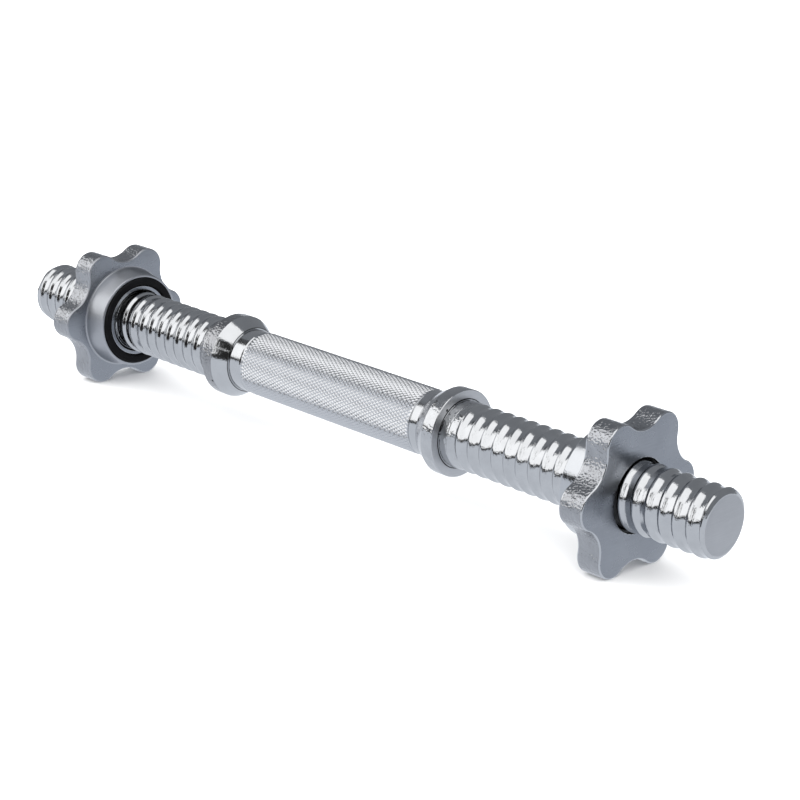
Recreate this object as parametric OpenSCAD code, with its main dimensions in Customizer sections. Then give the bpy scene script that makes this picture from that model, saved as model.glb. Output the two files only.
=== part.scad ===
// Spin-lock dumbbell handle: one threaded steel bar, two fixed inner collars and two
// star nuts, each nut carrying a rubber ring on the side that presses the weight plates.
// Bar axis is X, +Z is up, the origin is the middle of the bar on its axis.
// The assembly lies on two lobes of each star nut.

/* [Bar] */
// Outside diameter of the bar and of the thread crests
bar_diameter = 25; // [20:0.1:32]
// Overall length of the bar, about 14 inches
bar_length = 357.2; // [300:0.2:420]
// Radius of the flat end face inside the chamfer
end_face_radius = 10.6; // [8:0.1:12]
// Length of the end chamfer along the bar
end_chamfer = 1.8; // [0.5:0.1:4]
// Length of the knurled part of the grip
knurl_length = 91.6; // [60:0.2:100]
// How far the middle of the knurl lies from the middle of the bar
knurl_shift = 1.1; // [-3:0.1:3]
// Depth of the plain bands beside the knurl
band_depth = 0.15; // [0.05:0.05:0.5]
// How far the land that carries a collar stands above the bar
land_step = 0.2; // [0.05:0.05:0.3]

/* [Thread] */
// Pitch of the right-hand thread
pitch = 5.65; // [4:0.05:8]
// Depth of the thread groove
thread_depth = 0.78; // [0.4:0.01:1.6]
// Flat width of the thread crest
crest_width = 0.7; // [0.4:0.1:3]
// Length along the bar of the shallow flank, which faces the bar end
outer_flank = 1.95; // [0.4:0.05:2.4]
// Length along the bar of the steep flank, which faces the grip
inner_flank = 1.0; // [0.4:0.05:2.4]
// Straight-sided steps in one turn of the thread
turn_steps = 24; // [16:1:36]
// End of the smooth shank beside each collar
shank_end = 66.4; // [64:0.1:72]

/* [Collar] */
// Distance from the middle of the bar to the outer face of a collar
collar_face = 62.6; // [50:0.1:80]
// Width of the collar rim
rim_width = 5.1; // [3:0.1:10]
// Radius of the collar rim
rim_radius = 16.35; // [14:0.05:22]
// Length of the tapered back of the collar
taper_length = 6.0; // [3:0.1:10]
// Radius of the thin end of the taper
taper_radius = 13.0; // [12.9:0.05:14]

/* [Star nut] */
// Outer face of the right nut, from the middle of the bar
right_nut_face = 143.7; // [90:0.1:176]
// Outer face of the left nut, from the middle of the bar
left_nut_face = 141.5; // [90:0.1:176]
// Thickness of the six-lobed body
body_thickness = 9.8; // [5:0.1:14]
// Radius over the lobe tips
tip_radius = 30.2; // [24:0.1:36]
// Rounding radius of one lobe
lobe_radius = 7.4; // [5:0.1:9]
// Radius to the bottom of a valley
valley_radius = 23.3; // [20:0.05:26]
// Height of the round boss above the body
boss_height = 9.2; // [4:0.1:12]
// Radius of the boss where it meets the body
boss_base_radius = 20.5; // [17:0.1:22]
// Radius of the boss near its end
boss_end_radius = 19.4; // [17:0.1:22]
// Radius of the round opening in the outer face
mouth_radius = 13.3; // [12.9:0.05:15]
// Clearance between the bar thread and the nut thread
thread_clearance = 0.35; // [0.2:0.01:0.6]

/* [Rubber ring] */
// Outside radius of the rubber ring
rubber_outer = 18.2; // [16:0.05:19]
// Inside radius of the rubber ring
rubber_inner = 14.6; // [13.5:0.05:16]
// Depth of the groove that holds the ring
rubber_groove = 3.2; // [2:0.1:5]
// How far the ring stands out of the boss
rubber_proud = 0.8; // [0.2:0.1:2]

/* [Hidden] */
bar_r = bar_diameter / 2;
land_r = bar_r + land_step;
crest_r = bar_r - 0.02;
root_r = crest_r - thread_depth;
half = bar_length / 2;
// the end chamfer is broken into two cones that meet here
end_break = 0.75;
end_break_radius = bar_r - 0.5;
// where the thread crest starts at zero angle, one value for each end
phase_right = 62.44;
phase_left = 61.27;
// steps after which the groove is at full depth, one value for each end
runout_right = 14;
runout_left = 22;
runout_steps = 8;
// how far a cutter reaches past the face it cuts
over = 1;
// radius and reach that clear the whole threaded end
trim_r = 14;
trim_reach = 60;
// slope at each end of the knurl, and the land that shows beyond a collar
knurl_lead = 0.5;
land_past = 0.1;
// broken edge of a collar and the recess round the bar in its outer face
collar_edge = 0.4;
recess_gap = 0.5;
recess_depth = 1.2;
recess_end = 1.6;
// stake mark that locks a collar, in its outer face
stake_r = 0.45;
stake_depth = 0.6;
stake_place = 13.7;
stake_angle = 130;
// small mark in the collar rim, measured from the taper
rim_mark_r = 0.5;
rim_mark_depth = 0.7;
rim_mark_inset = 0.8;
rim_mark_angle = 332;
// bevel of the lobe tips
tip_bevel_in = 0.5;
tip_bevel_along = 0.6;
tip_margin = 0.1;
// foot and rounded lip of the boss
boss_foot = 0.5;
lip_along = 1.4;
lip_edge = 0.4;
lip_in = 0.8;
// play round the rubber ring, on the groove's side and on the ring's side
groove_play = 0.05;
ring_play = 0.1;
// mouths of the nut bore: depth of the round part, and where the cone meets the thread
tap_r = crest_r + thread_clearance;
mouth_depth = 1.6;
mouth_cone_end = 2.2;
mouth_cone_step = 0.1;
boss_mouth_gap = 0.6;
boss_mouth_depth = 0.4;
boss_mouth_cone_end = 1;
boss_mouth_cone_step = 0.08;
// rounding of the rubber ring's pressing face
ring_round = 0.7;
ring_shoulder = 0.15;
ring_shoulder_in = 0.4;
ring_flat_half = 0.6;
lobe_centre = tip_radius - lobe_radius;
valley_fillet = (pow(lobe_centre, 2) + pow(valley_radius, 2) - pow(lobe_radius, 2)
                 - 2 * lobe_centre * valley_radius * cos(30))
                / (2 * (lobe_radius + lobe_centre * cos(30) - valley_radius));
valley_centre = valley_radius + valley_fillet;
chrome = [0.80, 0.81, 0.83];
satin = [0.62, 0.64, 0.67];
black = [0.05, 0.05, 0.055];

// turns a shape drawn along Z so that Z becomes X
module along_x() {
    rotate([0, 90, 0]) children();
}

// a point on the thread, from its place along the bar, its angle and its radius
function spot(x, angle, r) = [x, r * cos(angle), r * sin(angle)];

// share of the full groove depth at a helix step
function ramp(i, full) = min(1, max(0, (i - full + runout_steps) / runout_steps));

// closed threaded rod from plane `from` to plane `to`, right-handed about +X
module threaded_rod(start, turns, from, to, crest, root, wide, full) {
    s = turn_steps;
    m = s * turns;
    off = [0, wide, wide + outer_flank, pitch - inner_flank];
    pts = [for (i = [0:m - 1]) for (n = [0:3])
        spot(start + pitch * i / s + off[n], 360 * i / s,
             n < 2 ? crest : crest - (crest - root) * ramp(i, full))];
    head = [for (j = [0:s - 1]) spot(from, 360 * j / s, crest)];
    tail = [for (j = [0:s - 1]) spot(to, 360 * j / s, crest)];
    h = 4 * m;
    t = h + s;
    along = [for (i = [0:m - 2]) for (n = [0:2])
        [4 * i + n, 4 * i + n + 1, 4 * i + 5 + n, 4 * i + 4 + n]];
    across = [for (i = [0:m - 2 - s])
        [4 * i + 3, 4 * (i + s), 4 * (i + 1 + s), 4 * i + 7]];
    first = [for (j = [0:s - 2]) [h + j, 4 * j, 4 * j + 4, h + j + 1]];
    first_gap = [[h + s - 1, 4 * (s - 1), 4 * s, 3, 2, 1, 0, h]];
    last = [for (j = [0:s - 2])
        [4 * (m - s + j) + 3, t + j, t + j + 1, 4 * (m - s + j) + 7]];
    last_gap = [[4 * (m - 1 - s) + 3, 4 * (m - 1), 4 * (m - 1) + 1, 4 * (m - 1) + 2,
                 4 * (m - 1) + 3, t + s - 1, t, 4 * (m - s) + 3]];
    caps = [[for (j = [0:s - 1]) h + j], [for (j = [0:s - 1]) t + s - 1 - j]];
    polyhedron(concat(pts, head, tail),
               concat(along, across, first, first_gap, last, last_gap, caps),
               convexity = 10);
}

// clearance-sized copy of the bar thread, used to cut the thread of a nut
module thread_tap(start, face, long) {
    c = thread_clearance;
    first = start + pitch * floor((face - long - start) / pitch) - pitch;
    turns = ceil((long + 4 * pitch) / pitch);
    threaded_rod(first - c, turns, first - c - 3, first + pitch * (turns + 1) + 3,
                 crest_r + c, root_r + c, crest_width + 2 * c, 0);
}

// full outline of the chamfered bar end, used to trim the thread
module end_envelope() {
    slope = (bar_r - end_break_radius) / (end_chamfer - end_break);
    along_x() rotate_extrude()
        polygon([[0, trim_reach], [trim_r, trim_reach],
                 [trim_r, half - end_chamfer - (trim_r - bar_r) / slope],
                 [end_break_radius, half - end_break], [end_face_radius, half], [0, half]]);
}

// one threaded end of the bar, built on the +X side
module threaded_end(start, full) {
    turns = ceil((half - start) / pitch) + 2;
    intersection() {
        threaded_rod(start, turns, start - 1, start + pitch * (turns + 1) + 2,
                     crest_r, root_r, crest_width, full);
        end_envelope();
    }
}

module bar() {
    low = knurl_shift - knurl_length / 2;
    high = knurl_shift + knurl_length / 2;
    band_r = bar_r - band_depth;
    seat = collar_face - rim_width - taper_length;
    land = collar_face + land_past;
    color(chrome) union() {
        along_x() rotate_extrude()
            polygon([[0, -shank_end], [bar_r, -shank_end], [bar_r, -land],
                     [land_r, -land], [land_r, -seat], [band_r, -seat],
                     [band_r, low - knurl_lead], [bar_r, low], [bar_r, high],
                     [band_r, high + knurl_lead], [band_r, seat], [land_r, seat],
                     [land_r, land], [bar_r, land], [bar_r, shank_end],
                     [0, shank_end]]);
        threaded_end(phase_right, runout_right);
        rotate([0, 0, 180]) threaded_end(phase_left, runout_left);
    }
}

// inner collar, built for the +X side
module collar() {
    rim = collar_face - rim_width;
    recess_r = bar_r + recess_gap;
    difference() {
        along_x() rotate_extrude()
            polygon([[land_r, rim - taper_length], [taper_radius, rim - taper_length],
                     [rim_radius, rim], [rim_radius, collar_face - collar_edge],
                     [rim_radius - collar_edge, collar_face], [recess_r, collar_face],
                     [recess_r, collar_face - recess_depth],
                     [land_r, collar_face - recess_end]]);
        translate(spot(collar_face, stake_angle, stake_place))
            rotate([0, 90, 0]) cylinder(r = stake_r, h = 2 * stake_depth, center = true, $fn = 24);
        translate(spot(rim + rim_mark_inset, rim_mark_angle, rim_radius))
            rotate([rim_mark_angle, 0, 0]) rotate([90, 0, 0])
            cylinder(r = rim_mark_r, h = 2 * rim_mark_depth, center = true, $fn = 24);
    }
}

module collar_right() {
    color(chrome) collar();
}

module collar_left() {
    color(chrome) rotate([0, 0, 180]) collar();
}

// six-lobed outline, one lobe along the first axis
module star_outline() {
    difference() {
        union() {
            circle(r = (tip_radius + valley_radius) / 2 - 0.5, $fn = 120);
            for (k = [0:5]) rotate(60 * k) translate([lobe_centre, 0])
                circle(r = lobe_radius, $fn = 60);
        }
        for (k = [0:5]) rotate(60 * k + 30) translate([valley_centre, 0])
            circle(r = valley_fillet + 0.02, $fn = 60);
    }
}

// star nut with its outer face at x = face, boss toward the middle of the bar
module star_nut(face, start) {
    inner = face - body_thickness;
    front = inner - boss_height;
    long = body_thickness + boss_height;
    tip_in = tip_radius - tip_bevel_in;
    tip_out = tip_radius + tip_margin;
    difference() {
        union() {
            // lobed body, edges of the lobe tips broken by a small bevel
            intersection() {
                translate([inner, 0, 0]) rotate([0, 90, 0]) rotate(90)
                    linear_extrude(height = body_thickness) star_outline();
                along_x() rotate_extrude()
                    polygon([[0, inner], [tip_in, inner], [tip_out, inner + tip_bevel_along],
                             [tip_out, face - tip_bevel_along], [tip_in, face], [0, face]]);
            }
            // tapered boss with a rounded lip
            along_x() rotate_extrude()
                polygon([[0, inner + boss_foot], [boss_base_radius, inner + boss_foot],
                         [boss_base_radius, inner - boss_foot],
                         [boss_base_radius - boss_foot, inner - 2 * boss_foot],
                         [boss_end_radius, front + lip_along],
                         [boss_end_radius - lip_edge, front + lip_edge],
                         [boss_end_radius - lip_in, front], [0, front]]);
        }
        // groove for the rubber ring
        along_x() rotate_extrude()
            polygon([[rubber_inner - groove_play, front - over],
                     [rubber_outer + groove_play, front - over],
                     [rubber_outer + groove_play, front + rubber_groove],
                     [rubber_inner - groove_play, front + rubber_groove]]);
        // round mouths on both sides, then the thread
        along_x() rotate_extrude()
            polygon([[0, face - mouth_cone_end], [tap_r + mouth_cone_step, face - mouth_cone_end],
                     [mouth_radius, face - mouth_depth], [mouth_radius, face + over],
                     [0, face + over]]);
        along_x() rotate_extrude()
            polygon([[0, front - over], [bar_r + boss_mouth_gap, front - over],
                     [bar_r + boss_mouth_gap, front + boss_mouth_depth],
                     [tap_r + boss_mouth_cone_step, front + boss_mouth_cone_end],
                     [0, front + boss_mouth_cone_end]]);
        thread_tap(start, face, long);
    }
}

module star_nut_right() {
    color(satin) star_nut(right_nut_face, phase_right);
}

module star_nut_left() {
    color(satin) rotate([0, 0, 180]) star_nut(left_nut_face, phase_left);
}

// rubber ring of the nut whose outer face is at x = face
module rubber_ring(face) {
    front = face - body_thickness - boss_height;
    back = front + rubber_groove - ring_play;
    press = front - rubber_proud;
    inner = rubber_inner + ring_play;
    outer = rubber_outer - ring_play;
    mid = (rubber_inner + rubber_outer) / 2;
    along_x() rotate_extrude()
        polygon([[inner, back], [inner, press + ring_round],
                 [inner + ring_shoulder_in, press + ring_shoulder],
                 [mid - ring_flat_half, press], [mid + ring_flat_half, press],
                 [outer - ring_shoulder_in, press + ring_shoulder],
                 [outer, press + ring_round], [outer, back]]);
}

module rubber_ring_right() {
    color(black) rubber_ring(right_nut_face);
}

module rubber_ring_left() {
    color(black) rotate([0, 0, 180]) rubber_ring(left_nut_face);
}

bar();
collar_right();
collar_left();
star_nut_right();
star_nut_left();
rubber_ring_right();
rubber_ring_left();
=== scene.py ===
import math

import bmesh
import bpy
import numpy as np
from mathutils import Matrix, Vector


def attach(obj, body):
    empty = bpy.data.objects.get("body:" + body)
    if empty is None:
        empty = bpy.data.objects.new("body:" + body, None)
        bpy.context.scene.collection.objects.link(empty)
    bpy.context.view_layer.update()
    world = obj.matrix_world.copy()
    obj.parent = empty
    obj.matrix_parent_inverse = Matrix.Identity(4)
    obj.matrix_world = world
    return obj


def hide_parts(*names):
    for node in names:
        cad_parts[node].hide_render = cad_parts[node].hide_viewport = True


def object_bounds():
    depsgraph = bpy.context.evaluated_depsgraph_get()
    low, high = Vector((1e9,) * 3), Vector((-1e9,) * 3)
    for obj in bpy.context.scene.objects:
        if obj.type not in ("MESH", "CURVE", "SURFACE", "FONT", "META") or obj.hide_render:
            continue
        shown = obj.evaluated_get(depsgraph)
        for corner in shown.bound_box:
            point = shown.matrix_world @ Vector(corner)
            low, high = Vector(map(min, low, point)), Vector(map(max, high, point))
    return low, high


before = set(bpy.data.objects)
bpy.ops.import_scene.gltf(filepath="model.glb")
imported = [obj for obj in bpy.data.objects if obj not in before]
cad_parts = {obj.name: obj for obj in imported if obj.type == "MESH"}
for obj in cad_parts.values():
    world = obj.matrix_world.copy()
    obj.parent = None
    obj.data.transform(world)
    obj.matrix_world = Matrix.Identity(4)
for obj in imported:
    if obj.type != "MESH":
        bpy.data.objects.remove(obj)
CAD_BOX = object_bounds()

MM = 0.001
TAU = 2 * math.pi
SIDES = (("right", 1), ("left", -1))

# ---------------------------------------------------------------- sizes, mm
BAR_R = 12.5
HALF = 178.6
END_R = 10.6
END_BREAK, END_BREAK_R = 0.75, 12.0
CHAMFER = 1.8
# round of the end face's edge: where it starts, then distance from the face and radius change
END_EDGE = 0.15
END_ROUND = ((0.04, 0.02), (0, -0.14))
# plain shank beside each collar, its edge, the core it hides, and where its surface ends
SHANK_END, EDGE, CORE_R = 66.4, 0.08, 11.5
ROUGH_END = 69.6

# thread, right-handed on both ends: the steep inner flank faces the grip
PITCH = 5.65
CREST_R = 12.48
DEPTH = 0.78
CREST_W = 0.6
OUTER_FLANK, INNER_FLANK = 1.95, 1.05
CREST_ROUND, ROOT_ROUND = 1.6, 2.4
# where the thread starts and the length of plain bar before it; the turn from its start at
# which the groove has its full depth, and the share of the depth it gains in one turn
PHASE = {"right": 62.49, "left": 61.32}
HEAD = 1
FULL_DEPTH_TURN = {"right": 14 / 24, "left": 22 / 24}
RAMP_PER_TURN = 3

# grip
LAND_R, LAND_PAST = 12.7, 0.1
BAND_R = 12.35
KNURL_HALF = 45.8
KNURL_MID = 1.1
KNURL_DEPTH = 0.3
KNURL_END_R = BAR_R - 0.8 * KNURL_DEPTH
KNURL_ROWS = 74
DIAMOND_FLAT = 0.26
# steps beside the knurl: distance from its end, and depth below the band
KNURL_LEAD = ((0.75, 0), (0.55, 0.12), (0.3, 0.3), (0.1, 0.3))

# inner collars
COLLAR_FACE = 62.6
RIM_W = 5.1
RIM_R = 16.35
TAPER_L = 6.0
TAPER_R = 13.0
RECESS_R = BAR_R + 0.5
RECESS, RECESS_END = 1.2, 1.6
COLLAR_ROUND = (0, 0, 0.15, 0.35, 0.2, 0.12, 0)
# marks: radius, reach over and under the surface, angle round the bar and place of each
MARK_R, MARK_OVER, MARK_UNDER = 0.5, 0.02, 0.4
STAKE_ANGLE, STAKE_PLACE = 130, 13.7
RIM_MARK_ANGLE, RIM_MARK_INSET = 332, 0.8

# star nuts
NUT_FACE = {"right": 143.7, "left": 141.5}
NUT_T, BOSS_H = 9.8, 9.2
TIP_R, LOBE_R, VALLEY_R = 30.2, 7.4, 23.3
HALF_LOBE = math.radians(30)
# bevel of the lobed edge: inset, and distance from the flat side
BEVEL = ((0.5, 0), (0.28, 0.06), (0.12, 0.2), (0.03, 0.42))
BEVEL_END = 0.7
RIM_STEPS = 9
# hub: radius of its fillet's foot, of its two ends and of the inner edge, and fillet width
BOSS_FOOT, BOSS_BASE, BOSS_END, BOSS_IN = 21.2, 20.52, 19.25, 14.3
FILLET = 0.1
BOSS_ROUND = (0, 0.7, 1.3, 0.15, 0, 0, 0.25, 0)

# rubber rings, in a groove of the hub
RUBBER_OUT, RUBBER_IN, GROOVE, PROUD = 18.2, 14.6, 3.2, 0.8
GROOVE_PLAY, RING_PLAY = 0.05, 0.1
RING_ROUND = (0, 0.2, 0.8, 0.8, 0.2, 0)

# bore thread: clearance, rounding, and radius and depths of the cones that end it
CLEAR = 0.35
BORE_ROUND = 0.3
CUT_R = CREST_R + CLEAR + 0.12
OUTER_CUT, HUB_CUT = 1.9, 1.0

# points round the bar, a nut, a collar, a rubber ring and a mark
N_BAR, N_NUT, N_COLLAR, N_RING, N_MARK = 112, 240, 192, 160, 16

# material numbers on each kind of piece, in the order of its material list
THREAD, KNURL, END_FACE, BAND, SHANK_RIGHT, SHANK_LEFT = range(6)
TAPER, COLLAR_FLAT, COLLAR_RIM, COLLAR_RECESS, COLLAR_MARK = range(5)
NUT_FLAT, NUT_RIM, NUT_BORE, NUT_BOSS = range(4)

# mouths of the bore: depth, radius, material of the step that ends there; the dark bore material on
# the deep steps is unplated metal and painted shade
OUTER_MOUTH = ((1.6, 13.3, NUT_BORE), (0.3, 13.3, NUT_BORE),
               (0.08, 13.4, NUT_RIM), (0, 13.6, NUT_RIM))
HUB_MOUTH = ((0.4, 13.1, NUT_BORE), (0.2, 13.12, NUT_RIM),
             (0.05, 13.2, NUT_RIM), (0, 13.35, NUT_RIM))

# ---------------------------------------------------------------- camera
AZIMUTH, ELEVATION, ROLL = 44.159, 18.042, 2.603
DISTANCE, TARGET_X = 0.7795, 0.027377
SENSOR_MM, LENS_MM = 36, 94.7367
SHIFT_X, SHIFT_Y = 0.0085125, 0.0114875


def make_camera():
    a, e, r = (math.radians(v) for v in (AZIMUTH, ELEVATION, ROLL))
    back = Vector((math.sin(a) * math.cos(e), -math.cos(a) * math.cos(e), math.sin(e)))
    side = Vector((0, 0, 1)).cross(back).normalized()
    up = back.cross(side)
    right = math.cos(r) * side + math.sin(r) * up
    top = -math.sin(r) * side + math.cos(r) * up
    data = bpy.data.cameras.new("camera")
    data.sensor_width = SENSOR_MM
    data.lens = LENS_MM
    data.shift_x = SHIFT_X
    data.shift_y = SHIFT_Y
    data.clip_start = 0.01
    data.clip_end = 100
    cam = bpy.data.objects.new("camera", data)
    m = Matrix((right, top, back)).transposed().to_4x4()
    m.translation = Vector((TARGET_X, 0, 0)) + back * DISTANCE
    cam.matrix_world = m
    bpy.context.scene.collection.objects.link(cam)
    bpy.context.scene.camera = cam


# ---------------------------------------------------------------- mesh helpers
def around_x(x, angle, r):
    """Point at an angle (radians) round the X axis."""
    return x, r * math.cos(angle), r * math.sin(angle)


class Shell:
    """Rings of n points about the X axis, joined by quads, in mm."""

    def __init__(self, n):
        self.n = n
        self.verts = []
        self.faces = []
        self.mats = []

    def face(self, corners, mat):
        self.faces.append(tuple(corners))
        self.mats.append(mat)

    def ring(self, x, r):
        """r is one radius, or a list with one for each point"""
        first = len(self.verts)
        radii = r if isinstance(r, list) else [r] * self.n
        for j in range(self.n):
            self.verts.append(around_x(x, TAU * j / self.n, radii[j]))
        return first

    def bridge(self, a, b, mat=0):
        for j in range(self.n):
            k = (j + 1) % self.n
            self.face((a + j, b + j, b + k, a + k), mat)

    def path(self, points):
        """points are (x, r) or (x, r, material of the faces before it, otherwise 0)"""
        rows = []
        for p in points:
            rows.append(self.ring(p[0], p[1]))
            if len(rows) > 1:
                self.bridge(rows[-2], rows[-1], p[2] if len(p) > 2 else 0)
        return rows

    def mesh(self):
        return to_bmesh(self.verts, self.faces, self.mats)


def to_bmesh(verts, faces, mats=None):
    bm = bmesh.new()
    vs = [bm.verts.new(v) for v in verts]
    for k, f in enumerate(faces):
        face = bm.faces.new([vs[i] for i in f])
        if mats is not None:
            face.material_index = mats[k]
    bm.verts.ensure_lookup_table()
    return bm


def merge(bms):
    out = bmesh.new()
    for bm in bms:
        me = bpy.data.meshes.new("part")
        bm.to_mesh(me)
        bm.free()
        out.from_mesh(me)
        bpy.data.meshes.remove(me)
    bmesh.ops.remove_doubles(out, verts=out.verts[:], dist=2e-4)
    return out


def turn_about_z(bm):
    for v in bm.verts:
        v.co.x, v.co.y = -v.co.x, -v.co.y


def finish_object(name, bm, materials, body, node, sharp):
    """Makes a mesh in mm a piece that rides on a body; edges over sharp degrees stay sharp."""
    bmesh.ops.recalc_face_normals(bm, faces=bm.faces[:])
    for f in bm.faces:
        f.smooth = True
    for v in bm.verts:
        v.co *= MM
    me = bpy.data.meshes.new(name)
    bm.to_mesh(me)
    bm.free()
    me.set_sharp_from_angle(angle=math.radians(sharp))
    for m in materials:
        me.materials.append(m)
    obj = bpy.data.objects.new(name, me)
    bpy.context.scene.collection.objects.link(obj)
    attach(obj, body)
    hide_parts(node)


def rounded(points, radii, steps):
    """Rounds the corners of an open (x, y) path."""
    out = [points[0]]
    for k in range(1, len(points) - 1):
        p0, p1, p2 = (np.array(points[i], float) for i in (k - 1, k, k + 1))
        r = radii[k]
        if r <= 0:
            out.append(tuple(p1))
            continue
        u, v = p0 - p1, p2 - p1
        lu, lv = np.linalg.norm(u), np.linalg.norm(v)
        u, v = u / lu, v / lv
        half_angle = math.acos(max(-1, min(1, float(u @ v)))) / 2
        t = min(r / math.tan(half_angle), 0.48 * lu, 0.48 * lv)
        r = t * math.tan(half_angle)
        centre = p1 + (u + v) / np.linalg.norm(u + v) * (r / math.sin(half_angle))
        a, b = p1 + u * t, p1 + v * t
        a0 = math.atan2(*(a - centre)[::-1])
        a1 = math.atan2(*(b - centre)[::-1])
        d = (a1 - a0 + math.pi) % TAU - math.pi
        for s in range(steps + 1):
            w = a0 + d * s / steps
            out.append((centre[0] + r * math.cos(w), centre[1] + r * math.sin(w)))
    out.append(points[-1])
    return out


def thread_profile(wide, crest_round, root_round, steps):
    """One pitch of the thread from mid crest to mid crest: (distance along, depth 0 to 1)."""
    raw = [(wide / 2, 0), (wide, 0), (wide + OUTER_FLANK, -DEPTH), (PITCH - INNER_FLANK, -DEPTH),
           (PITCH, 0), (PITCH + wide / 2, 0)]
    path = rounded(raw, [0, crest_round, root_round, root_round / 4, crest_round / 4, 0], steps)
    return [(x, -y / DEPTH) for x, y in path[:-1]]


def helix(n, start, turns, profile, crest, ramp=None):
    """Open helical sheet of the given profile. Point (i, k) is at index i * len(profile) + k."""
    m = n * turns
    size = len(profile)
    verts = []
    for i in range(m):
        share = ramp(i / n) if ramp else 1.0
        for dx, d in profile:
            verts.append(around_x(start + PITCH * i / n + dx, TAU * i / n,
                                  crest - DEPTH * d * share))
    faces = []
    for i in range(m - 1):
        for k in range(size - 1):
            a = size * i + k
            faces.append((a, a + 1, a + 1 + size, a + size))
        if i + 1 + n < m:
            faces.append((size * i + size - 1, size * (i + n),
                          size * (i + 1 + n), size * (i + 1) + size - 1))
    return verts, faces


def cut_cone(bm, x_at, r_at, slope):
    """Moves all beyond the cone r = r_at - slope * (x - x_at), on its +X side, onto the cone."""
    for v in bm.verts:
        v.co.x += math.hypot(v.co.y, v.co.z) / slope
    limit = x_at + r_at / slope
    bmesh.ops.bisect_plane(bm, geom=bm.verts[:] + bm.edges[:] + bm.faces[:], dist=1e-6,
                           plane_co=(limit, 0, 0), plane_no=(1, 0, 0))
    beyond = [v for v in bm.verts if v.co.x > limit + 1e-6]
    for v in bm.verts:
        v.co.x -= math.hypot(v.co.y, v.co.z) / slope
    for v in beyond:
        r = math.hypot(v.co.y, v.co.z)
        want = max(0.5, r_at - slope * (v.co.x - x_at))
        v.co.y *= want / r
        v.co.z *= want / r


def cut_plane(bm, x, drop_above):
    bmesh.ops.bisect_plane(bm, geom=bm.verts[:] + bm.edges[:] + bm.faces[:], dist=1e-6,
                           plane_co=(x, 0, 0), plane_no=(1, 0, 0),
                           clear_outer=drop_above, clear_inner=not drop_above)


def mirror_x(bm):
    for v in bm.verts:
        v.co.x *= -1


def edge_loop_at(bm, x):
    return [e for e in bm.edges if e.is_boundary
            and all(abs(v.co.x - x) < 1e-4 for v in e.verts)]


def extend_loop(bm, edges, rings):
    """Grows a boundary loop through (x, r, material) rings, keeping each point's angle."""
    for x, r, mat in rings:
        res = bmesh.ops.extrude_edge_only(bm, edges=edges)["geom"]
        verts = [g for g in res if isinstance(g, bmesh.types.BMVert)]
        for f in (g for g in res if isinstance(g, bmesh.types.BMFace)):
            f.material_index = mat
        for v in verts:
            now = math.hypot(v.co.y, v.co.z)
            v.co = Vector((x, v.co.y * r / now, v.co.z * r / now))
        edges = [g for g in res if isinstance(g, bmesh.types.BMEdge)
                 and all(abs(v.co.x - x) < 1e-5 for v in g.verts) and g.is_boundary]
    return edges


# ---------------------------------------------------------------- bar
def smooth_ramp(full_at):
    """Groove depth share against turns: it grows over the third of a turn before full_at."""
    def share(turn):
        t = min(1, max(0, (turn - full_at) * RAMP_PER_TURN + 1))
        return t * t * (3 - 2 * t)
    return share


def threaded_end(phase, full_at, shank):
    """One end of the bar on the +X side, from just inside the first crest to the end face."""
    profile = thread_profile(CREST_W, CREST_ROUND, ROOT_ROUND, steps=4)
    turns = math.ceil((HALF - phase) / PITCH) + 2
    verts, faces = helix(N_BAR, phase, turns, profile, CREST_R, smooth_ramp(full_at))
    size = len(profile)
    head = len(verts)
    verts += [around_x(phase - HEAD, TAU * j / N_BAR, CREST_R) for j in range(N_BAR)]
    for j in range(N_BAR - 1):
        faces.append((head + j, size * j, size * (j + 1), head + j + 1))
    gap = [head + N_BAR - 1, size * (N_BAR - 1), size * N_BAR]
    gap += [*reversed(range(size)), head]
    faces.append(tuple(gap))
    bm = to_bmesh(verts, faces)
    cut_cone(bm, HALF - END_BREAK, END_BREAK_R, (BAR_R - END_BREAK_R) / (CHAMFER - END_BREAK))
    cut_cone(bm, HALF, END_R, (END_BREAK_R - END_R) / END_BREAK)
    edge = HALF - END_EDGE
    cut_plane(bm, edge, True)
    loop = extend_loop(bm, edge_loop_at(bm, edge),
                       [(HALF - away, END_R + out, THREAD) for away, out in END_ROUND])
    for f in bmesh.ops.contextual_create(bm, geom=loop)["faces"]:
        f.material_index = END_FACE
    for f in bm.faces:
        if f.calc_center_median().x < ROUGH_END:
            f.material_index = shank
    return bm


def knurl(s, first, lo, hi):
    """Diamonds with flat tops that start at the ring first; gives the ring they end at."""
    n, steps = s.n, KNURL_ROWS
    dx = (hi - lo) / steps
    grid = {}
    for i in range(1, steps):
        for j in range(n):
            if (i + j) % 2:
                grid[i, j] = len(s.verts)
                s.verts.append(around_x(lo + i * dx, TAU * j / n, BAR_R - KNURL_DEPTH))
    last = s.ring(hi, KNURL_END_R)
    for j in range(n):
        grid[0, j] = first + j
        grid[steps, j] = last + j
    for i in range(1, steps):
        for j in range(n):
            if (i + j) % 2 == 0:
                around = [grid[i - 1, j], grid[i, (j + 1) % n], grid[i + 1, j], grid[i, (j - 1) % n]]
                top = []
                for di, dj in ((-1, 0), (0, 1), (1, 0), (0, -1)):
                    top.append(len(s.verts))
                    s.verts.append(around_x(lo + (i + di * DIAMOND_FLAT) * dx,
                                            TAU * (j + dj * DIAMOND_FLAT) / n, BAR_R))
                for k in range(4):
                    m = (k + 1) % 4
                    s.face((around[k], around[m], top[m], top[k]), KNURL)
                s.face(top, KNURL)
    for end, near in ((0, 1), (steps, steps - 1)):
        for j in range(n):
            if (end + j) % 2 == 0:
                a, b, c = (grid[end, (j + k) % n] for k in (-1, 0, 1))
                s.face((a, b, grid[near, j]), KNURL)
                s.face((b, c, grid[near, j]), KNURL)
    return last


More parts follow.
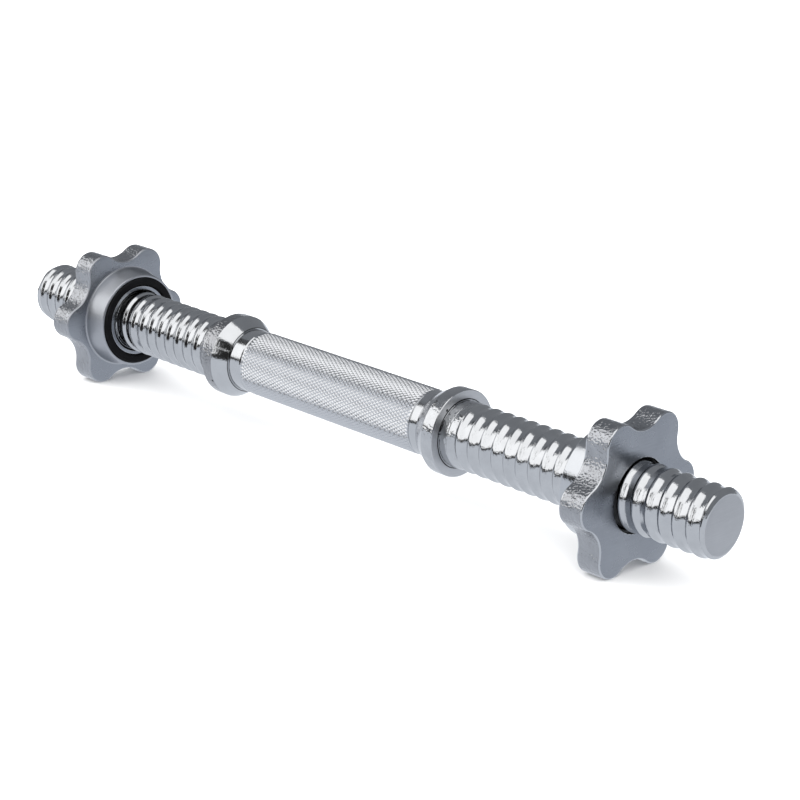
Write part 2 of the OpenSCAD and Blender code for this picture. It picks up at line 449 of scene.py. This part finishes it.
def grip():
    """Middle of the bar: shanks, lands that carry the collars, bands and knurl."""
    s = Shell(N_BAR)
    lo, hi = KNURL_MID - KNURL_HALF, KNURL_MID + KNURL_HALF
    land = COLLAR_FACE + LAND_PAST
    seat = COLLAR_FACE - RIM_W - TAPER_L
    hidden = land - RECESS
    left = [(-SHANK_END, CORE_R), (-SHANK_END, BAR_R - EDGE), (EDGE - SHANK_END, BAR_R, SHANK_LEFT),
            (-hidden, BAR_R, SHANK_LEFT), (-hidden, LAND_R), (-seat, LAND_R), (-seat, BAND_R)]
    left += [(lo - gap, BAND_R - drop, BAND) for gap, drop in KNURL_LEAD]
    right = [(hi + gap, BAND_R - drop, BAND) for gap, drop in reversed(KNURL_LEAD)]
    right += [(seat, BAND_R, BAND), (seat, LAND_R), (land, LAND_R), (land, BAR_R),
              (SHANK_END - EDGE, BAR_R, SHANK_RIGHT), (SHANK_END, BAR_R - EDGE, SHANK_RIGHT),
              (SHANK_END, CORE_R)]
    rows_l = s.path(left)
    first = s.ring(lo, KNURL_END_R)
    s.bridge(rows_l[-1], first, KNURL)
    last = knurl(s, first, lo, hi)
    rows_r = s.path(right)
    s.bridge(last, rows_r[0], KNURL)
    return s.mesh()


def make_bar(materials):
    right = threaded_end(PHASE["right"], FULL_DEPTH_TURN["right"], SHANK_RIGHT)
    left = threaded_end(PHASE["left"], FULL_DEPTH_TURN["left"], SHANK_LEFT)
    turn_about_z(left)
    bm = merge([grip(), right, left])
    finish_object("bar_chromed", bm, materials, "handle", "bar", sharp=28)


# ---------------------------------------------------------------- collars
def add_mark(s, centre, axis):
    """Small dark disc let into a surface, standing hardly above it: painted shade of a punched hole.
    """
    u = axis.orthogonal().normalized()
    v = axis.cross(u)
    first = len(s.verts)
    for along in (MARK_OVER, -MARK_UNDER):
        for j in range(N_MARK):
            t = TAU * j / N_MARK
            out = math.cos(t) * u + math.sin(t) * v
            s.verts.append(tuple(centre + along * axis + MARK_R * out))
    s.face(range(first, first + N_MARK), COLLAR_MARK)
    s.face(range(first + N_MARK, first + 2 * N_MARK), COLLAR_MARK)
    for j in range(N_MARK):
        a, b = first + j, first + (j + 1) % N_MARK
        s.face((a, b, b + N_MARK, a + N_MARK), COLLAR_MARK)


def collar_material(x0, r0, x1, r1):
    if min(x0, x1) > COLLAR_FACE - 0.001:
        return COLLAR_FLAT
    if min(r0, r1) > RIM_R - 0.03:
        return COLLAR_RIM
    # the recess wall takes the dark bore material: painted shade in the gap between collar and bar
    if max(r0, r1) < RECESS_R + 0.05:
        return COLLAR_RECESS
    return TAPER


def make_collar(name, node, sign, materials):
    face = COLLAR_FACE
    rim = face - RIM_W
    back = rim - TAPER_L
    raw = [(face - RECESS_END, LAND_R), (face - RECESS, RECESS_R), (face, RECESS_R), (face, RIM_R),
           (rim, RIM_R), (back, TAPER_R), (back, LAND_R)]
    path = rounded(raw, COLLAR_ROUND, steps=4)
    s = Shell(N_COLLAR)
    rows = [s.ring(x, r) for x, r in path]
    for k in range(1, len(path)):
        s.bridge(rows[k - 1], rows[k], collar_material(*path[k - 1], *path[k]))
    s.bridge(rows[-1], rows[0], TAPER)
    along = Vector((1, 0, 0))
    out = Vector(around_x(0, math.radians(STAKE_ANGLE), 1))
    add_mark(s, face * along + STAKE_PLACE * out, along)
    out = Vector(around_x(0, math.radians(RIM_MARK_ANGLE), 1))
    add_mark(s, (rim + RIM_MARK_INSET) * along + RIM_R * out, out)
    bm = s.mesh()
    if sign < 0:
        turn_about_z(bm)
    finish_object(name, bm, materials, "handle", node, sharp=35)


# ---------------------------------------------------------------- star nuts
LOBE_C = TIP_R - LOBE_R
VALLEY_F = ((LOBE_C ** 2 + VALLEY_R ** 2 - LOBE_R ** 2
             - 2 * LOBE_C * VALLEY_R * math.cos(HALF_LOBE))
            / (2 * (LOBE_R + LOBE_C * math.cos(HALF_LOBE) - VALLEY_R)))
VALLEY_C = VALLEY_R + VALLEY_F


def star_radius(angle, inset):
    """Radius of the lobed outline at an angle from a lobe, moved inward by inset."""
    t = abs((angle + HALF_LOBE) % (2 * HALF_LOBE) - HALF_LOBE)
    dx = VALLEY_C * math.cos(HALF_LOBE) - LOBE_C
    dy = VALLEY_C * math.sin(HALF_LOBE)
    d = math.hypot(dx, dy)
    rl, rv = LOBE_R - inset, VALLEY_F + inset
    touch = math.atan2(dy / d * rl, LOBE_C + dx / d * rl)
    if t <= touch:
        return LOBE_C * math.cos(t) + math.sqrt(max(0, rl ** 2 - (LOBE_C * math.sin(t)) ** 2))
    p = HALF_LOBE - t
    return VALLEY_C * math.cos(p) - math.sqrt(max(0, rv ** 2 - (VALLEY_C * math.sin(p)) ** 2))


def star_ring(inset):
    return [star_radius(TAU * j / N_NUT, inset) for j in range(N_NUT)]


def nut_bore(face, phase):
    """Threaded bore with its two mouths, open at x = face and at the hub's front."""
    front = face - NUT_T - BOSS_H
    profile = thread_profile(CREST_W + 2 * CLEAR, BORE_ROUND, BORE_ROUND, steps=2)
    first = phase + PITCH * math.floor((front - phase) / PITCH) - 2 * PITCH
    turns = math.ceil((NUT_T + BOSS_H + 6 * PITCH) / PITCH)
    verts, faces = helix(N_NUT, first - CLEAR, turns, profile, CREST_R + CLEAR)
    # the bore's dark material: the thread is unplated and dark, and its darkness is also painted
    # shade inside the bore
    bm = to_bmesh(verts, faces, [NUT_BORE] * len(faces))
    outer, inner = face - OUTER_CUT, front + HUB_CUT
    cut_cone(bm, outer, CUT_R, -1.0)
    mirror_x(bm)
    cut_cone(bm, -inner, CUT_R, -1.0)
    mirror_x(bm)
    cut_plane(bm, outer, True)
    cut_plane(bm, inner, False)
    extend_loop(bm, edge_loop_at(bm, outer), [(face - deep, r, mat) for deep, r, mat in OUTER_MOUTH])
    extend_loop(bm, edge_loop_at(bm, inner), [(front + deep, r, mat) for deep, r, mat in HUB_MOUTH])
    return bm


def nut_outside(face):
    """Star body, hub and rubber groove, open at x = face and inside the hub."""
    inner = face - NUT_T
    front = inner - BOSS_H
    floor = front + GROOVE
    groove_out, groove_in = RUBBER_OUT + GROOVE_PLAY, RUBBER_IN - GROOVE_PLAY
    edge = [(away, star_ring(inset)) for inset, away in BEVEL]
    side, length = star_ring(0), NUT_T - 2 * BEVEL_END
    rows = [(face - away, r, NUT_BOSS) for away, r in edge]
    rows += [(face - BEVEL_END - length * k / RIM_STEPS, side, NUT_RIM)
             for k in range(RIM_STEPS + 1)]
    rows += [(inner + away, r, NUT_BOSS) for away, r in reversed(edge)]
    rows += [(inner, BOSS_FOOT, NUT_FLAT)]
    hub = rounded([(inner, BOSS_FOOT), (inner - FILLET, BOSS_BASE), (front, BOSS_END),
                   (front, groove_out), (floor, groove_out), (floor, groove_in),
                   (front, groove_in), (front, BOSS_IN)], BOSS_ROUND, steps=5)
    rows += [(x, r, NUT_BOSS) for x, r in hub[1:]]
    s = Shell(N_NUT)
    s.path(rows)
    return s.mesh()


def make_nut(name, node, body, face, phase, sign, materials):
    bm = merge([nut_outside(face), nut_bore(face, phase)])
    for x in (face, face - NUT_T - BOSS_H):
        made = bmesh.ops.triangle_fill(bm, use_beauty=True, use_dissolve=False,
                                       edges=edge_loop_at(bm, x), normal=(1, 0, 0))
        for g in made["geom"]:
            if isinstance(g, bmesh.types.BMFace):
                g.material_index = NUT_FLAT
    if sign < 0:
        turn_about_z(bm)
    finish_object(name, bm, materials, body, node, sharp=32)


def make_ring(name, node, body, face, sign, material):
    front = face - NUT_T - BOSS_H
    back = front + GROOVE - RING_PLAY
    outer, inner = RUBBER_OUT - RING_PLAY, RUBBER_IN + RING_PLAY
    mid = (RUBBER_IN + RUBBER_OUT) / 2
    path = rounded([(back, mid), (back, outer), (front - PROUD, outer),
                    (front - PROUD, inner), (back, inner), (back, mid)], RING_ROUND, steps=5)
    s = Shell(N_RING)
    rows = s.path(path[:-1])
    s.bridge(rows[-1], rows[0])
    bm = s.mesh()
    if sign < 0:
        turn_about_z(bm)
    finish_object(name, bm, [material], body, node, sharp=50)


# ---------------------------------------------------------------- shader nodes
class Graph:
    """Adds and links the nodes of one node tree."""

    def __init__(self, tree):
        self.tree = tree

    def add(self, kind, **values):
        node = self.tree.nodes.new(kind)
        for key, value in values.items():
            setattr(node, key, value)
        return node

    def link(self, a, b):
        self.tree.links.new(a, b)

    def split(self, vector):
        node = self.add("ShaderNodeSeparateXYZ")
        self.link(vector, node.inputs[0])
        return node.outputs

    def span(self, value, lo, hi, to_lo, to_hi, kind="LINEAR"):
        """to_lo where value is lo or less, to_hi where it is hi or more"""
        node = self.add("ShaderNodeMapRange", interpolation_type=kind)
        self.link(value, node.inputs["Value"])
        for key, v in (("From Min", lo), ("From Max", hi), ("To Min", to_lo), ("To Max", to_hi)):
            node.inputs[key].default_value = v
        return node.outputs["Result"]

    def math(self, op, *values):
        """each value is a number or the output of a node"""
        node = self.add("ShaderNodeMath", operation=op)
        for socket, v in zip(node.inputs, values):
            if hasattr(v, "is_linked"):
                self.link(v, socket)
            else:
                socket.default_value = v
        return node.outputs[0]


class Material(Graph):
    """One material. Scales of patterns are in features per metre."""

    def __init__(self, name):
        self.mat = bpy.data.materials.new(name)
        self.mat.use_nodes = True
        super().__init__(self.mat.node_tree)
        self.shader = self.tree.nodes["Principled BSDF"]
        self.coords = self.add("ShaderNodeTexCoord").outputs["Object"]

    def set(self, **values):
        for key, value in values.items():
            self.shader.inputs[key.replace("_", " ")].default_value = value

    def noise(self, scale, detail, rough=0.5, vector=None):
        node = self.add("ShaderNodeTexNoise")
        self.link(vector or self.coords, node.inputs["Vector"])
        node.inputs["Scale"].default_value = scale
        node.inputs["Detail"].default_value = detail
        node.inputs["Roughness"].default_value = rough
        return node.outputs["Fac"]

    def stretched(self, x, y, z):
        node = self.add("ShaderNodeMapping")
        self.link(self.coords, node.inputs["Vector"])
        node.inputs["Scale"].default_value = (x, y, z)
        return node.outputs["Vector"]

    def around(self, along, turn):
        """coordinates that run along the bar axis and round it"""
        x, y, z = self.split(self.coords)
        join = self.add("ShaderNodeCombineXYZ")
        self.link(self.math("MULTIPLY", x, along), join.inputs[0])
        angle = self.math("ARCTAN2", z, y)
        self.link(self.math("MULTIPLY", angle, turn * BAR_R * MM), join.inputs[1])
        return join.outputs[0]

    def paint(self, value, dark, light):
        """base colour from dark to light as value rises"""
        node = self.add("ShaderNodeValToRGB")
        self.link(value, node.inputs["Fac"])
        for stop, at, tint in zip(node.color_ramp.elements, CLOUD, (dark, light)):
            stop.position = at
            stop.color = (*tint, 1)
        self.link(node.outputs["Color"], self.shader.inputs["Base Color"])

    def polish(self, value, rough):
        """roughness from the first to the second number as value rises"""
        self.link(self.span(value, *CLOUD, *rough), self.shader.inputs["Roughness"])

    def bumps(self, *layers):
        """layers are (height, distance in metres, strength), each on top of the last"""
        last = None
        for height, distance, strength in layers:
            node = self.add("ShaderNodeBump")
            node.inputs["Distance"].default_value = distance
            node.inputs["Strength"].default_value = strength
            self.link(height, node.inputs["Height"])
            if last:
                self.link(last, node.inputs["Normal"])
            last = node.outputs["Normal"]
        self.link(last, self.shader.inputs["Normal"])


# ---------------------------------------------------------------- materials
# values of a noise between which colour and roughness change
CLOUD = (0.3, 0.7)
CHROME = (0.58, 0.59, 0.605)
# slope and roughness of the rims and the shank that sparkle
SPARKLE, SPARKLE_ROUGH = 0.19, (0.03, 0.08)


def darker(tint, share):
    return tuple(c * share for c in tint)


def metal(name, scale, tint, darkest, rough):
    """Metal with clouds in its tint and roughness."""
    m = Material(name)
    m.set(Metallic=1.0)
    cloud = m.noise(scale, 4)
    m.paint(cloud, darker(tint, darkest), tint)
    m.polish(cloud, rough)
    return m


def chrome(name, rough=(0.05, 0.13), wave=0.25, grain=1.0, tint=CHROME):
    """smooth chrome: wave bends its reflections, grain breaks them up"""
    m = metal(name, 180, tint, 0.93, rough)
    m.bumps((m.noise(260, 2), 0.0004, wave * 0.2), (m.noise(1400, 3), 0.00003, grain))
    return m.mat


def rolled(name):
    """chrome over a rolled thread: small dents, lines round the bar and a fine grain"""
    m = metal(name, 220, CHROME, 0.9, (0.04, 0.12))
    dents = m.noise(620, 3, 0.65)
    lines = m.noise(1.0, 3, 0.6, m.around(1300, 160))
    m.bumps((dents, 0.00016, 0.3), (lines, 0.00008, 0.6), (m.noise(2200, 2), 0.00002, 1.0))
    return m.mat


def pitted(name, slope, rough=(0.08, 0.16), tint=CHROME, size=900):
    """chrome over a coarse surface that sparkles; slope is the steepness of its grains"""
    m = metal(name, 200, tint, 0.85, rough)
    grains = m.noise(size, 1, 0.4)
    m.bumps((grains, 0.002 * slope, 1.0), (m.noise(2.6 * size, 2), 0.0002 * slope, 1.0))
    return m.mat


def satin_face(name, tint=(0.5, 0.51, 0.53), rough=(0.26, 0.36), streaks=0.0):
    """fine machined face; streaks is the depth of its brushing lines"""
    m = Material(name)
    m.set(Metallic=1.0)
    cloud = m.noise(90, 4)
    lines = m.noise(1.0, 4, 0.7, m.stretched(400, 120, 2600))
    shade = m.math("ADD", m.math("MULTIPLY", cloud, 0.6), m.math("MULTIPLY", lines, 0.4))
    m.paint(shade, darker(tint, 0.8), tint)
    m.polish(cloud, rough)
    m.bumps((m.noise(1500, 4), 0.0001, 0.2), (lines, 0.00006, streaks))
    return m.mat


def rubber(name):
    m = Material(name)
    m.set(Specular_IOR_Level=0.12)
    cloud = m.noise(300, 4)
    m.paint(cloud, (0.0015, 0.0015, 0.002), (0.004, 0.004, 0.005))
    m.polish(cloud, (0.5, 0.65))
    m.bumps((m.noise(2500, 3), 0.0001, 0.3))
    return m.mat


def painted_hole_shade(name):
    """painted shade at the bottom of a punched mark: a dark disc stands in for the shadow in the
    hole
    """
    m = Material(name)
    m.set(Metallic=1.0, Roughness=0.6, Base_Color=(0.02, 0.02, 0.022, 1))
    return m.mat


# ---------------------------------------------------------------- studio
FLOOR_R, FLOOR_SIDES, FLOOR_GAP = 9, 96, 0.0001
SUN_ANGLE, SUN_ENERGY = 150, 4.6
BACKDROP = 1.2
WHITE = (1, 1, 1)
COOL = (0.94, 0.985, 1.06)
# compass from, to, elevation from, to (degrees), soft edges, brightness, tint
STUDIO = (
    (-180, 180, -100, 1.0, (0, 0.6), 0.84, COOL),
    (-180, 180, 1.0, 100, (0, 0.6), 0.03, WHITE),
    (-180, 180, 46, 100, (0, 3.0), 0.27, COOL),
    (-182, 1, 1.5, 62, (3, 1.0), 0.27, COOL),
    (96, 150, -3.2, 2.0, (3, 0.6), 0.03, WHITE),
    (0, 100, 8.0, 38, (2, 0.9), 1.6, WHITE),
    (24, 100, 30, 45.5, (1.5, 1.2), 1.6, WHITE),
    (64, 99, 40, 50, (2, 1.2), 1.6, WHITE),
    (118, 160, 33, 62, (2, 2), 1.6, WHITE),
    (97, 140, 22.6, 24.0, (2, 0.4), 1.8, WHITE),
)
# overhead softbox on the plane one unit above the object: along X from, to, then across,
# soft edge, brightness; it is turned a little, and hidden below the lowest elevation
BOX = (-0.46, 2.2, -0.93, 0.12, 0.03, 1.5)
BOX_TURN = -0.2
BOX_LOWEST = 5


def make_floor():
    m = Material("floor_white")
    m.set(Base_Color=(0.9, 0.9, 0.9, 1), Roughness=0.9)
    bm = bmesh.new()
    bmesh.ops.create_circle(bm, cap_ends=True, segments=FLOOR_SIDES, radius=FLOOR_R)
    me = bpy.data.meshes.new("floor")
    bm.to_mesh(me)
    bm.free()
    me.materials.append(m.mat)
    obj = bpy.data.objects.new("floor", me)
    obj.location.z = CAD_BOX[0][2] - FLOOR_GAP
    obj.visible_glossy = False
    bpy.context.scene.collection.objects.link(obj)


def make_sun():
    data = bpy.data.lights.new("overhead", "SUN")
    data.angle = math.radians(SUN_ANGLE)
    data.energy = SUN_ENERGY
    obj = bpy.data.objects.new("overhead", data)
    obj.visible_glossy = False
    bpy.context.scene.collection.objects.link(obj)


class Sky(Graph):
    """World of bright panels, laid over one another in order."""

    def __init__(self, tree):
        super().__init__(tree)
        tree.nodes.clear()
        self.total = None
        self.x, self.y, self.z = self.split(self.add("ShaderNodeTexCoord").outputs["Generated"])
        self.height = self.degrees(self.math("ARCSINE", self.z))

    def degrees(self, angle):
        return self.math("MULTIPLY", angle, 180 / math.pi)

    def window(self, value, lo, hi, soft):
        """1 between lo and hi, with soft edges"""
        rise = self.span(value, lo - soft, lo + soft, 0, 1, "SMOOTHSTEP")
        fall = self.span(value, hi - soft, hi + soft, 1, 0, "SMOOTHSTEP")
        return self.math("MULTIPLY", rise, fall)

    def lay(self, tint, level, mask):
        """tint times level laid over what is there, where mask is 1"""
        node = self.add("ShaderNodeMix", data_type="RGBA")
        self.link(mask, node.inputs["Factor"])
        if self.total is None:
            node.inputs["A"].default_value = (0, 0, 0, 1)
        else:
            self.link(self.total, node.inputs["A"])
        node.inputs["B"].default_value = (*(c * level for c in tint), 1)
        self.total = node.outputs["Result"]

    def panels(self):
        # the compass is 0 toward -X and positive toward -Y
        compass = self.degrees(self.math("ARCTAN2", self.math("MULTIPLY", self.y, -1.0),
                                         self.math("MULTIPLY", self.x, -1.0)))
        for lo, hi, low, high, soft, level, tint in STUDIO:
            mask = self.window(self.height, low, high, soft[1])
            if hi - lo < 360:
                mask = self.math("MULTIPLY", mask, self.window(compass, lo, hi, soft[0]))
            self.lay(tint, level, mask)

    def softbox(self):
        up = self.math("MAXIMUM", self.z, 0.02)
        across = self.math("DIVIDE", self.x, up)
        deep = self.math("MULTIPLY_ADD", across, BOX_TURN, self.math("DIVIDE", self.y, up))
        lo, hi, near, far, soft, level = BOX
        mask = self.math("MULTIPLY", self.window(across, lo, hi, soft),
                         self.window(deep, near, far, soft))
        above = self.window(self.height, BOX_LOWEST, 100, 1)
        self.lay(WHITE, level, self.math("MULTIPLY", mask, above))


def make_world():
    world = bpy.data.worlds.new("studio")
    world.use_nodes = True
    sky = Sky(world.node_tree)
    sky.panels()
    sky.softbox()
    sky.lay(WHITE, BACKDROP, sky.add("ShaderNodeLightPath").outputs["Is Camera Ray"])
    shade = sky.add("ShaderNodeBackground")
    sky.link(sky.total, shade.inputs["Color"])
    out = sky.add("ShaderNodeOutputWorld")
    sky.link(shade.outputs[0], out.inputs[0])
    bpy.context.scene.world = world


# ---------------------------------------------------------------- the whole
thread_chrome = rolled("thread_chrome")
knurl_chrome = chrome("knurl_chrome", (0.19, 0.28), 0.0, 0.5, (0.62, 0.63, 0.65))
end_face = satin_face("end_face_turned")
band_chrome = chrome("band_chrome", (0.08, 0.16))
collar_chrome = chrome("collar_chrome")
collar_face = satin_face("collar_face_turned", (0.66, 0.67, 0.69), (0.4, 0.52))
collar_rim = {"right": pitted("collar_rim_fine", 0.07),
              "left": pitted("collar_rim_dull", SPARKLE, SPARKLE_ROUGH,
                             (0.38, 0.385, 0.40), 1050)}
shank_fine = pitted("shank_fine", 0.08)
shank_dull = pitted("shank_dull", SPARKLE, SPARKLE_ROUGH, (0.42, 0.425, 0.44), 1050)
nut_face = satin_face("nut_face_brushed", (0.345, 0.365, 0.40), (0.22, 0.32), 1.0)
nut_rim = pitted("nut_rim_cast", SPARKLE, SPARKLE_ROUGH, (0.42, 0.43, 0.45), 1150)
boss_chrome = {"right": chrome("nut_boss_polished", (0.08, 0.18), 0.7, 1.0, (0.56, 0.575, 0.6)),
               "left": chrome("nut_boss_satin", (0.36, 0.46), 0.6, 1.0, (0.47, 0.485, 0.515))}
# dark bore metal: the nut's inner thread is unplated, and its darkness also paints the shade in the
# bore mouths and in the collars' recess gaps
unplated_and_shade = chrome("nut_bore_unplated_and_painted_shade", (0.4, 0.5), 0.3, 1.0, (0.12, 0.12, 0.12))
black_rubber = rubber("ring_rubber_black")
# punched marks: dark discs that paint the shade inside the holes
mark_painted_shade = painted_hole_shade("collar_mark_painted_shade")

make_camera()
make_bar([thread_chrome, knurl_chrome, end_face, band_chrome, shank_fine, shank_dull])
for side, sign in SIDES:
    face, phase = NUT_FACE[side], PHASE[side]
    make_collar("inner_collar_" + side, "collar_" + side, sign,
                [collar_chrome, collar_face, collar_rim[side], unplated_and_shade, mark_painted_shade])
    make_nut("star_collar_" + side, "star_nut_" + side, "nut_" + side, face, phase, sign,
             [nut_face, nut_rim, unplated_and_shade, boss_chrome[side]])
    make_ring("pressure_ring_" + side, "rubber_ring_" + side, "ring_" + side, face, sign,
              black_rubber)
make_floor()
make_world()
make_sun()
bpy.context.scene.view_settings.view_transform = "Standard"
